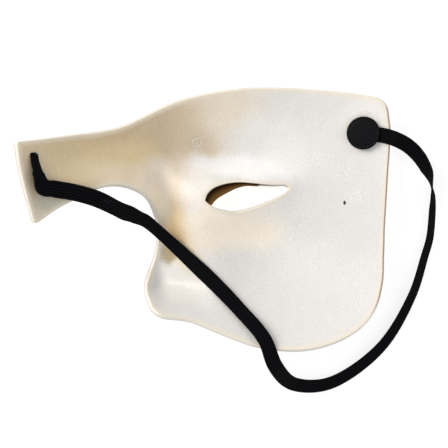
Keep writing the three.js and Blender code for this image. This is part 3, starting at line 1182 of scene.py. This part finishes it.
    def _sheet(self, loops: list[np.ndarray]) -> tuple[np.ndarray, list[tuple[int, ...]]]:
        """Fill the sheet between the edges with even triangles.

        Args:
            loops: The outline and the holes, laid flat.

        Returns:
            The flat points, the loops' first, and the triangles.
        """
        rise = self.grid * math.sqrt(3) / 2
        low, high = (limit(loops[0] / (self.grid, rise), axis=0) for limit in (np.min, np.max))
        rows = np.arange(math.floor(low[1]), math.ceil(high[1]) + 1)
        columns = np.arange(math.floor(low[0]), math.ceil(high[0]) + 1)
        grid = np.array([((c + 0.5 * (r % 2)) * self.grid, r * rise) for r in rows for c in columns])
        grid = grid[on_sheet(grid, loops)]
        edges: list[tuple[int, int]] = []
        for loop in loops:
            clear = 0.5 * np.linalg.norm(loop[1] - loop[0]) + self.clear_of_edge * self.grid
            grid = grid[distances(grid, loop).min(axis=1) > clear]
            first, size = len(edges), len(loop)
            edges += [(first + i, first + (i + 1) % size) for i in range(size)]
        points = np.vstack([*loops, grid])
        result = delaunay_2d_cdt([Vector(p) for p in points], edges, [], 0, self.tolerance)
        origin = {new: old[0] for new, old in enumerate(result[3]) if old}
        assert len(result[0]) == len(points) == len(origin)
        faces = np.array([[origin[v] for v in f] for f in result[2]])
        faces = faces[on_sheet(points[faces].mean(axis=1), loops)]
        a, b, c = (points[faces[:, k]] for k in range(3))
        turned = (b - a)[:, 0] * (c - a)[:, 1] - (b - a)[:, 1] * (c - a)[:, 0] < 0
        faces[turned] = faces[turned][:, ::-1]
        return points, [tuple(int(v) for v in f) for f in faces]

    def _rim_profile(self) -> list[Pair]:
        """Give the rounded edge's section from the inner face to the outer one.

        Returns:
            How far in from the edge and how deep each corner of the section lies.
        """
        turns = np.linspace(0, math.pi / 2, self.arris_steps + 1)
        first = [(self.arris * (1 - math.sin(a)), self.arris * (1 - math.cos(a))) for a in turns[1:]]
        middle = [(0.0, self.arris + (self.wall - 2 * self.arris) * k / 4) for k in (1, 2, 3)]
        last = [(reach, self.wall - depth) for reach, depth in reversed(first)]
        return first + middle + last

    def _sunk(self, flat: np.ndarray, depth: float) -> np.ndarray:
        """Give points below the inner face, drawn out into the lid's lip at the eye hole.

        Args:
            flat: Points laid flat.
            depth: How deep below the inner face they lie.

        Returns:
            The points in the face's frame.
        """
        xy = self.surface.rolled(flat)
        normal = self.surface.normal(xy)
        lip = np.array(self.lid_lip) + self.wall * normal
        drawn = lip * (self._lid_field(flat) * depth / self.wall)[:, None]
        return self.surface.point(xy) - depth * normal + drawn

    def _lid_field(self, flat: np.ndarray) -> np.ndarray:
        """Tell how much of the lid's lip each flat point has.

        Args:
            flat: Points laid flat.

        Returns:
            1 at the eye hole's upper inner side, falling to 0 away from it.
        """
        loop = self.edges[Edge.EYE_HOLE]
        fade = smooth(*self.lid_fade, self.surface.rolled(loop)[:, 0])
        facing = self._inward(loop) @ self.lid_facing
        amount = smooth(*self.lid_range, facing) * (1 - fade)
        kernel = np.hanning(2 * self.lid_blur + 1)
        wide = np.concatenate([amount[-self.lid_blur :], amount, amount[: self.lid_blur]])
        amount = np.convolve(wide, kernel / kernel.sum(), "valid")
        gaps = distances(flat, loop)
        gap = np.clip(gaps.min(axis=1) / self.lid_reach, 0, 1)
        return amount[gaps.argmin(axis=1)] * (1 - gap * gap) ** 2

    def _edge_gap(self, flat: np.ndarray) -> tuple[np.ndarray, np.ndarray]:
        """Measure how far flat points are from the outline or the eye hole.

        Args:
            flat: Points laid flat.

        Returns:
            The distances, in millimetres, and how far the nearest part of the outline faces right, 0 to 1.
        """
        loop = self.edges[Edge.OUTLINE]
        outline, eye = distances(flat, loop), distances(flat, self.edges[Edge.EYE_HOLE])
        facing = smooth(*self.right_range, -self._inward(loop)[:, 0])
        return np.minimum(outline.min(axis=1), eye.min(axis=1)), facing[outline.argmin(axis=1)]

    def spot(self, x: float, y: float) -> Place:
        """Give the place in metres of a spot on the inner face."""
        place = self.pose.place(self.surface.point(np.array([[x, y]])))[0]
        return (float(place[0]), float(place[1]), float(place[2]))


@dataclass
class StrapDisc:
    """The round black disc over the strap's end, turned with a soft rim and cut by the strap's channel."""

    surface: FaceSurface
    pose: RestPose
    x: float = 86.8
    y: float = 28.8
    radius: float = 7.75
    thickness: float = 2.6
    rim: float = 0.7
    dome: float = 0.35
    groove_radius: float = 6.35
    groove_depth: float = 0.16
    groove_reach: float = 0.28
    gap: float = 0.9
    channel_width: float = 7.8
    channel_depth: float = 1.3
    strap_turn: float = -2.5
    soft_edge: float = 0.12
    soft_angle: float = 50.0
    soft_steps: int = 2
    rim_steps: int = 7
    top_rings: int = 26
    segments: int = 128

    def make(self) -> bpy.types.Object:
        """Build the disc and dress it.

        Returns:
            The finished piece.
        """
        xy = np.array([[self.x, self.y]])
        centre, normal = self.surface.point(xy)[0], self.surface.normal(xy)[0]
        across = np.array([1.0, 0.0, 0.0]) - normal[0] * normal
        across /= np.linalg.norm(across)
        basis = np.column_stack([across, np.cross(normal, across), normal])
        points, faces = self._cap()
        cap = make_object("strap_button", points * MILLIMETRE, faces)
        cutter = self._channel()
        cut = cap.modifiers.new("channel", "BOOLEAN")
        cut.operation, cut.solver, cut.object = "DIFFERENCE", "EXACT", cutter
        bevel = cap.modifiers.new("soft edges", "BEVEL")
        bevel.width, bevel.segments = self.soft_edge * MILLIMETRE, self.soft_steps
        bevel.limit_method, bevel.angle_limit = "ANGLE", math.radians(self.soft_angle)
        made = applied(cap, "strap_button")
        bpy.data.objects.remove(cutter)
        local = np.array([v.co for v in made.data.vertices]) / MILLIMETRE
        placed = self.pose.place(local @ basis.T + centre + self.gap * normal)
        made.data.vertices.foreach_set("co", placed.astype(np.float32).ravel())
        made.data.update()
        finish = BlackPlastic()
        made.data.materials.clear()
        made.data.materials.append(finish.build())
        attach(made, BODY)
        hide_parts("strap_disc")
        return made

    def _profile(self) -> list[Pair]:
        """Give the disc's half section from the rim of its base to near the middle of its top.

        Returns:
            The radius and height of each corner of the section.
        """
        low, flat = self.thickness - self.dome, self.radius - self.rim
        profile: list[Pair] = [(self.radius, 0.0)]
        for a in np.linspace(0, math.pi / 2, self.rim_steps):
            profile.append((flat + self.rim * math.cos(a), low - self.rim + self.rim * math.sin(a)))
        for r in np.linspace(flat, 0, self.top_rings)[1:-1]:
            crown = self.dome * (1 - (r / flat) ** 2)
            dip = self.groove_depth * math.exp(-(((r - self.groove_radius) / self.groove_reach) ** 2))
            profile.append((float(r), low + crown - dip))
        return profile

    def _cap(self) -> tuple[np.ndarray, list[tuple[int, ...]]]:
        """Turn the profile round the disc's axis.

        Returns:
            The vertices and the faces, with closed poles.
        """
        profile, n = self._profile(), self.segments
        turns = np.linspace(0, 2 * math.pi, n, endpoint=False)
        circle = np.column_stack([np.cos(turns), np.sin(turns), np.ones(n)])
        rings = [circle * (radius, radius, height) for radius, height in profile]
        points = np.vstack([*rings, [[0, 0, 0]], [[0, 0, self.thickness]]])
        last = (len(profile) - 1) * n
        base, top = last + n, last + n + 1
        sides = [(i, (i + 1) % n) for i in range(n)]
        faces = [(k + i, k + j, k + n + j, k + n + i) for k in range(0, last, n) for i, j in sides]
        faces += [(base, j, i) for i, j in sides] + [(top, last + i, last + j) for i, j in sides]
        return points, faces

    def _channel(self) -> bpy.types.Object:
        """Make the block that cuts the strap's channel.

        Returns:
            The block, with its length along the strap.
        """
        half, depth, reach = self.channel_width / 2, self.channel_depth, 2 * self.radius
        corners = np.array([(x, y, z) for x in (0, reach) for y in (-half, half) for z in (-depth, depth)])
        cos, sin = math.cos(math.radians(self.strap_turn)), math.sin(math.radians(self.strap_turn))
        spun = corners @ np.array([(cos, sin, 0), (-sin, cos, 0), (0, 0, 1)])
        faces = [(0, 1, 3, 2), (4, 6, 7, 5), (0, 4, 5, 1), (2, 3, 7, 6), (0, 2, 6, 4), (1, 5, 7, 3)]
        return make_object("channel_cutter", spun * MILLIMETRE, faces)


@dataclass
class ElasticStrap:
    """The flat woven elastic, swept along its route by a node tree."""

    width: float = 7.0
    thickness: float = 1.0
    ribs: float = 6.0
    rib_depth: float = 0.3
    squareness: float = 8.0
    weld: float = 0.00001
    sides: int = 96
    steps_per_point: int = 12
    folds: tuple[Place, ...] = ((28.0, 0.4, 0.5), (29.45, 0.2, 0.8), (23.5, 0.35, 0.9))
    route: tuple[tuple[float, ...], ...] = (
        (70.9, 39.8, 10.1, 9, 7), (79.6, 38.4, 12.2, 10, 7), (84.2, 36.6, 13.9, 13, 7),
        (90.5, 33.5, 11.6, 22, 7), (96.1, 28.6, 8.6, 36, 7), (100.3, 22.4, 6, 54, 7),
        (102.5, 16.8, 4.7, 95, 7), (103.6, 10.6, 4, 118, 7), (103.4, 3.9, 3.8, 128, 7),
        (102.2, -9.5, 3.6, 131, 7), (99.8, -18.1, 3.5, 132, 7), (93.6, -37.5, 3.4, 136, 7),
        (78.5, -62.3, 2.8, 146, 7), (55, -79, 2.2, 158, 7), (37.5, -78.6, 8.6, 168, 7),
        (27.2, -67.6, 22.3, 185, 7), (22.2, -55.2, 23.3, 203, 7), (11.2, -42.6, 17, 205, 7),
        (0.1, -31.2, 14, 193, 7), (-14.1, -18.1, 10.5, 158, 7), (-22.6, -10.3, 9.8, 150, 7),
        (-28.8, -4.5, 14.3, 148, 7), (-32.4, -1.5, 18.8, 149, 7.4), (-36.2, 0.4, 24.4, 153, 7.4),
        (-43.1, 3.8, 34.2, 166, 7.2), (-51.4, 8.2, 45.9, 183, 7.3), (-59.8, 10.6, 50.4, 184, 7.2),
        (-66.9, 11.8, 55.2, 187, 7.3), (-70.9, 12.6, 59.2, 210, 7.2), (-72.3, 16.6, 60.2, 226, 5.9),
        (-73.3, 19.4, 59.3, 231, 4.8), (-74.4, 22.6, 58.5, 234, 4.3), (-75.1, 25.4, 57.6, 234, 3.8),
        (-76.3, 26.5, 56.1, 262, 3.3), (-77.8, 25.5, 54.6, 297, 3.5), (-76.6, 18.8, 53.6, 311, 3.5),
        (-74.8, 13.1, 53.1, 317, 3.5), (-72.8, 12.5, 55.3, 274, 3.5), (-71.5, 13.6, 57.1, 227, 3.5),
        (-72.3, 17.3, 57.1, 225, 3.5),
    )

    def make(self) -> bpy.types.Object:
        """Returns:
            The finished piece.
        """
        line, across, facing, widths = self._frames()
        made = self._sweep(line, across, facing, widths)
        finish = BlackElastic()
        made.data.materials.clear()
        made.data.materials.append(finish.build())
        length = float(np.linalg.norm(np.diff(line, axis=0), axis=1).sum()) * MILLIMETRE
        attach(made, BODY)
        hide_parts("elastic_strap")
        tuple(line[0] * MILLIMETRE)
        [tuple(p * MILLIMETRE) for p in line]
        LOG.info("elastic strap: %.0f mm long", length / MILLIMETRE)
        return made

    def _frames(self) -> tuple[np.ndarray, np.ndarray, np.ndarray, np.ndarray]:
        """Work out the strap's middle line and how it is turned along it.

        Returns:
            The line's points, the directions across and out of the strap's face, and the widths.
        """
        rows = np.array(self.route)
        points, spans = rows[:, :3], len(rows) - 1
        around = np.vstack([2 * points[0] - points[1], points, 2 * points[-1] - points[-2]])
        t = np.linspace(0, 1, self.steps_per_point + 1)[:-1, None]
        parts = [self._centripetal(around[i : i + 4], t) for i in range(spans)]
        line = np.vstack([*parts, points[-1]])
        tangent = np.gradient(line, axis=0)
        tangent /= np.linalg.norm(tangent, axis=1)[:, None]
        at = np.linspace(0, spans, len(line))
        turn, widths = (np.interp(at, np.arange(len(rows)), rows[:, k]) for k in (3, 4))
        for middle, reach, extra in self.folds:
            widths += extra * bell((at - middle) / reach)
        level = np.cross([0.0, 0.0, 1.0], tangent)
        level /= np.linalg.norm(level, axis=1)[:, None]
        turn = np.radians(turn)[:, None]
        across = np.cos(turn) * level + np.sin(turn) * np.cross(tangent, level)
        return line, across, np.cross(tangent, across), widths

    @staticmethod
    def _centripetal(points: Sequence[np.ndarray], t: np.ndarray) -> np.ndarray:
        """Draw the part of a smooth line between the second and third of four points.

        Args:
            points: The four points.
            t: Where on that part, 0 to 1.

        Returns:
            The points of that part.
        """
        p0, p1, p2, p3 = points
        d0, d1, d2 = (math.sqrt(float(np.linalg.norm(b - a))) for a, b in zip(points, points[1:]))
        leave = ((p1 - p0) / d0 - (p2 - p0) / (d0 + d1) + (p2 - p1) / d1) * d1
        arrive = ((p2 - p1) / d1 - (p3 - p1) / (d1 + d2) + (p3 - p2) / d2) * d1
        return cubic((p1, p2), (leave, arrive), t)

    def _sweep(
        self, line: np.ndarray, across: np.ndarray, facing: np.ndarray, widths: np.ndarray
    ) -> bpy.types.Object:
        """Sweep the ribbed section along the line with the node tree.

        Args:
            line: The middle line, in millimetres.
            across: Directions across the strap.
            facing: Directions out of its face.
            widths: Its widths, in millimetres.

        Returns:
            The strap as a plain closed mesh.
        """
        ends = [0, *range(len(line)), len(line) - 1]
        size = np.ones(len(ends))
        size[[0, -1]] = 0.0
        half_width = 0.5 * widths[ends] * size
        half_thickness = 0.5 * self.thickness * np.sqrt(self.width / widths[ends]) * size
        steps = np.linalg.norm(np.diff(line, axis=0), axis=1)
        along = np.concatenate([[0], np.cumsum(steps)])[ends]
        guide = make_object("strap_guide", line[ends] * MILLIMETRE, [])
        self._store(guide.data, "across", across[ends] * half_width[:, None] * MILLIMETRE)
        self._store(guide.data, "facing", facing[ends] * half_thickness[:, None] * MILLIMETRE)
        self._store(guide.data, "measures", np.column_stack([along, half_width, size]) * MILLIMETRE)
        tree = self._tree()
        sweep = guide.modifiers.new("sweep", "NODES")
        sweep.node_group = tree
        inputs = {"Stations": len(ends), "Sides": self.sides, "Ribs": self.ribs, "Rib Depth": self.rib_depth}
        for item in tree.interface.items_tree:
            if item.in_out == "INPUT" and item.name in inputs:
                sweep[item.identifier] = inputs[item.name]
        made = applied(guide, "strap_elastic")
        bpy.data.node_groups.remove(tree)
        return made

    @staticmethod
    def _store(mesh: bpy.types.Mesh, name: str, vectors: np.ndarray) -> None:
        """Store a vector on every vertex."""
        layer = mesh.attributes.new(name, "FLOAT_VECTOR", "POINT")
        layer.data.foreach_set("vector", vectors.astype(np.float32).ravel())

    def _tree(self) -> bpy.types.NodeTree:
        """Build the node tree that sweeps a flat section with lengthwise ribs along a guide.

        Returns:
            The geometry node group.
        """
        tree = bpy.data.node_groups.new("ribbed strap", "GeometryNodeTree")
        tree.interface.new_socket(name="Guide", in_out="INPUT", socket_type="NodeSocketGeometry")
        for name, kind, start in (
            ("Stations", "NodeSocketInt", 2),
            ("Sides", "NodeSocketInt", self.sides),
            ("Ribs", "NodeSocketFloat", self.ribs),
            ("Rib Depth", "NodeSocketFloat", self.rib_depth),
        ):
            tree.interface.new_socket(name=name, in_out="INPUT", socket_type=kind).default_value = start
        tree.interface.new_socket(name="Strap", in_out="OUTPUT", socket_type="NodeSocketGeometry")
        graph, vectors = Graph(tree), {"data_type": "FLOAT_VECTOR"}
        given = graph.node("NodeGroupInput")
        guide, stations, sides = given["Guide"], given["Stations"], given["Sides"]
        columns = sides + 1.0
        index = graph.node("GeometryNodeInputIndex")["Index"]
        station = graph.math("FLOOR", (index + 0.5) / columns)
        around = (index - station * columns) / sides * 4.0
        x = abs(around - 2.0) - 1.0
        side = 1.0 - 2.0 * (around > 2.0)
        flat = graph.math("SQRT", graph.math("MAXIMUM", 1.0 - abs(x) ** self.squareness, 0.0))
        rib = 0.5 - 0.5 * graph.math("COSINE", (x + 1.0) * (given["Ribs"] * math.pi))
        height = side * flat * (1.0 - given["Rib Depth"] * (1.0 - rib))

        def sampled(value: Value) -> Value:
            """Read a vector of the guide at this vertex's station."""
            sockets = {"Geometry": guide, "Value": value, "Index": station}
            return graph.node("GeometryNodeSampleIndex", vectors, sockets)["Value"]

        def named(name: str) -> Value:
            """Read a vector that is stored on the guide, at this vertex's station."""
            stored = graph.node("GeometryNodeInputNamedAttribute", vectors, {"Name": name})
            return sampled(stored["Attribute"])

        centre = sampled(graph.node("GeometryNodeInputPosition")["Position"])
        sideways = graph.vector("ADD", centre, graph.scaled(named("across"), x))
        place = graph.vector("ADD", sideways, graph.scaled(named("facing"), height))
        measures = graph.node("ShaderNodeSeparateXYZ", None, {"Vector": named("measures")})
        woven = {"X": measures["X"], "Y": measures["Y"] * x, "Z": rib}
        weave = graph.node("ShaderNodeCombineXYZ", None, woven)["Vector"]
        counts = {"Vertices X": stations, "Vertices Y": columns}
        shape = graph.node("GeometryNodeMeshGrid", None, counts)["Mesh"]
        for kind, options, sockets in (
            ("SetPosition", {}, {"Position": place}),
            ("StoreNamedAttribute", {**vectors, "domain": "POINT"}, {"Name": "weave", "Value": weave}),
            ("MergeByDistance", {}, {"Distance": self.weld}),
            ("SetShadeSmooth", {}, {}),
            ("RealizeInstances", {}, {}),
            ("SetMaterial", {}, {}),
        ):
            shape = graph.node("GeometryNode" + kind, options, {"Geometry": shape, **sockets})["Geometry"]
        graph.node("NodeGroupOutput", None, {"Strap": shape})
        return tree


# The studio


@dataclass
class Studio:
    """The table, the lights and the camera straight above the mask."""

    look_at: Place = (0.0038, -0.0028, 0.0172)
    distance: float = 0.4
    focal_pixels: float = 865.0
    image_pixels: float = 448.0
    sensor: float = 36.0
    nearest: float = 0.01
    farthest: float = 20.0
    table_reach: float = 3.0
    sky: Colour = shade(250, 251, 255)
    sky_strength: float = 0.62
    lamps: tuple[tuple[str, Place, float, float, Colour], ...] = (
        ("key", (-0.75, 0.4, 0.6), 0.6, 8.0, shade(255, 252, 246)),
        ("fill", (0.3, -0.35, 1.0), 1.2, 2.0, shade(244, 248, 255)),
    )

    def camera(self) -> None:
        """Put the camera where the photograph was taken from."""
        lens = bpy.data.cameras.new("camera")
        lens.sensor_fit = "HORIZONTAL"
        lens.sensor_width = self.sensor
        lens.lens = self.focal_pixels / self.image_pixels * self.sensor
        lens.clip_start = self.nearest
        lens.clip_end = self.farthest
        made = bpy.data.objects.new("camera", lens)
        made.location = Vector(self.look_at) + Vector((0, 0, self.distance))
        bpy.context.scene.collection.objects.link(made)
        bpy.context.scene.camera = made

    def table(self) -> None:
        """Lay the pale table under the mask."""
        corners = self.table_reach * np.array([(-1, -1, 0), (1, -1, 0), (1, 1, 0), (-1, 1, 0)])
        made = make_object("table", corners, [(0, 1, 2, 3)])
        made.data.materials.append(PaleTable().build())
        made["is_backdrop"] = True

    def lights(self) -> None:
        """Light the table softly, most of it from the photograph's upper left."""
        for lamp in self.lamps:
            self._area(*lamp)
        world = bpy.data.worlds.new("studio")
        world.use_nodes = True
        graph = Graph(world.node_tree)
        sockets = {"Color": self.sky, "Strength": self.sky_strength}
        sky = graph.node("ShaderNodeBackground", None, sockets)["Background"]
        graph.node("ShaderNodeOutputWorld", None, {"Surface": sky})
        bpy.context.scene.world = world
        bpy.context.scene.view_settings.view_transform = "Standard"

    @staticmethod
    def _area(name: str, place: Place, size: float, power: float, colour: Colour) -> None:
        """Hang a square soft light that points at the mask.

        Args:
            name: The light's name.
            place: Where it hangs.
            size: How wide it is.
            power: Its power, in watts.
            colour: Its colour.
        """
        lamp = bpy.data.lights.new(name, "AREA")
        lamp.size = size
        lamp.energy = power
        lamp.color = colour[:3]
        made = bpy.data.objects.new(name, lamp)
        made.location = place
        made.rotation_euler = (-Vector(place)).to_track_quat("-Z", "Y").to_euler()
        bpy.context.scene.collection.objects.link(made)


def shell_marks(shell: MaskShell) -> SurfaceMarks:
    """Place the shell's coloured areas of yellowing, painted shade and painted light, its painted glints and
    its small marks on its inner face.

    Args:
        shell: The shell.

    Returns:
        The marks.
    """
    # Tones of the areas: ochre and warm are yellowing together with painted shade, light is painted light, and
    # the cool tone is a painted shadow under the strap.
    ochre, warm = shade(219, 196, 153), shade(202, 178, 142)
    light, painted_strap_shadow = shade(248, 243, 236), shade(186, 184, 164)
    # The ochre pools on the band, forehead and brow are yellowing together with painted shade; the darker
    # areas on the nose's flank and cut edge, the band's left end and the right cheek, and the one under the
    # strap, are painted shade and painted shadow; the pale areas by the nose's root, under the eye and on the
    # forehead are painted light, the one just above the eye a painted highlight.
    areas: tuple[tuple[Pair, Pair, float, Colour, float], ...] = (
        ((-35.5, 20.4), (80, 47.5), 14, ochre, 1.0),
        ((13.9, 39.4), (45, 37.5), 20, shade(240, 225, 200), 0.9),
        ((-7.6, 31.5), (35, 20), 25, warm, 0.8),
        ((-20.0, 18.5), (27.5, 12.5), 10, shade(233, 209, 160), 0.8),
        ((11.3, 22.5), (21.2, 17.5), 0, shade(212, 191, 160), 0.75),
        ((-12.0, 6.5), (35, 11.2), -14, shade(240, 222, 194), 0.85),
        ((-4.5, 9.0), (13, 16), 15, shade(250, 238, 220), 0.9),
        ((3.4, -11.0), (36.2, 13.8), -62, shade(242, 217, 173), 1.0),
        ((-4.2, 3.5), (12.5, 10.5), -40, shade(246, 231, 213), 0.85),
        ((-1.2, -7.0), (6.2, 16.2), 12, shade(250, 238, 210), 0.9),
        ((-0.5, -5.5), (6.5, 12), 0, shade(248, 235, 206), 0.8),
        ((5.8, -17.5), (7.5, 12.5), 25, shade(222, 192, 146), 0.9),
        ((4.0, -26.0), (7.5, 7.5), 0, shade(176, 158, 122), 1.0),
        ((13.5, 6.5), (14, 15), 0, light, 0.7),
        ((21.5, -14.0), (21.2, 20), 0, shade(248, 235, 214), 1.0),
        ((38.4, -14.5), (28.8, 18.8), 0, shade(255, 244, 224), 1.0),
        ((56.0, -6.5), (27.5, 8.8), 12, light, 0.5),
        ((80.0, -4.0), (37.5, 42.5), 0, shade(222, 219, 215), 0.8),
        ((88.0, 36.0), (20, 16.2), 0, shade(244, 239, 232), 0.7),
        ((45.0, 26.3), (30, 18.8), 0, shade(240, 237, 233), 0.7),
        ((34.5, 13.9), (40, 9.4), -4, shade(253, 251, 249), 0.9),
        ((-67.5, 3.9), (11.2, 25), 0, shade(208, 190, 162), 0.6),
        ((-57.6, -4.4), (11.2, 6.2), -12, painted_strap_shadow, 0.75),
    )
    # Zones of painted glints: pale flecks on the pebbles that stand in for highlights.
    zones: tuple[tuple[Pair, Pair, float], ...] = (
        ((66.0, 18.2), (15, 7), 0.7),
        ((84.9, 0.1), (13, 6), 0.7),
        ((78.1, 10.9), (13, 8), 0.55),
        ((66.1, -24.3), (20, 7), 0.5),
        ((9.0, 4.0), (8, 12), 0.4),
    )
    tints = tuple(Tint(shell.spot(*at), *size, turn, *look) for at, size, turn, *look in areas)
    glints = tuple(Tint(shell.spot(*at), *size, 10, light, strength) for at, size, strength in zones)
    specks = (
        Speck(shell.spot(79.6, -3.8), 0.00082, 1.0, (1.0, 0.62, 1.0)),
        Speck(shell.spot(-18.3, 13.0), 0.0003, 0.7),
        Speck(shell.spot(35.6, -27.4), 0.0003, 0.7),
    )
    return SurfaceMarks(pin=shell.spot(13.8, 25.9), specks=specks, tints=tints, glints=glints)


def plain(box: Sequence[Any]) -> list[list[float]]:
    """Turn a box's corners into plain lists."""
    return [[float(v) for v in corner] for corner in box]


def main(packed: list[list[float]]) -> None:
    """Make every piece.

    Args:
        packed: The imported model's box.
    """
    studio = Studio()
    studio.camera()
    strap = ElasticStrap().make()
    surface, pose = FaceSurface(), RestPose()
    shell = MaskShell(surface, pose)
    marks = shell_marks(shell)
    skin = shell.make(marks)
    button = StrapDisc(surface, pose).make()
    for piece in (skin, button, strap):
        LOG.info("%s: %d vertices, %d faces", piece.name, len(piece.data.vertices), len(piece.data.polygons))
    studio.table()
    studio.lights()
    {"cad": packed, "visual": plain(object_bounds())}


if __name__ == "__main__":
    logging.basicConfig(level=logging.INFO, format="%(name)s: %(message)s")
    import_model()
    main(plain(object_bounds()))
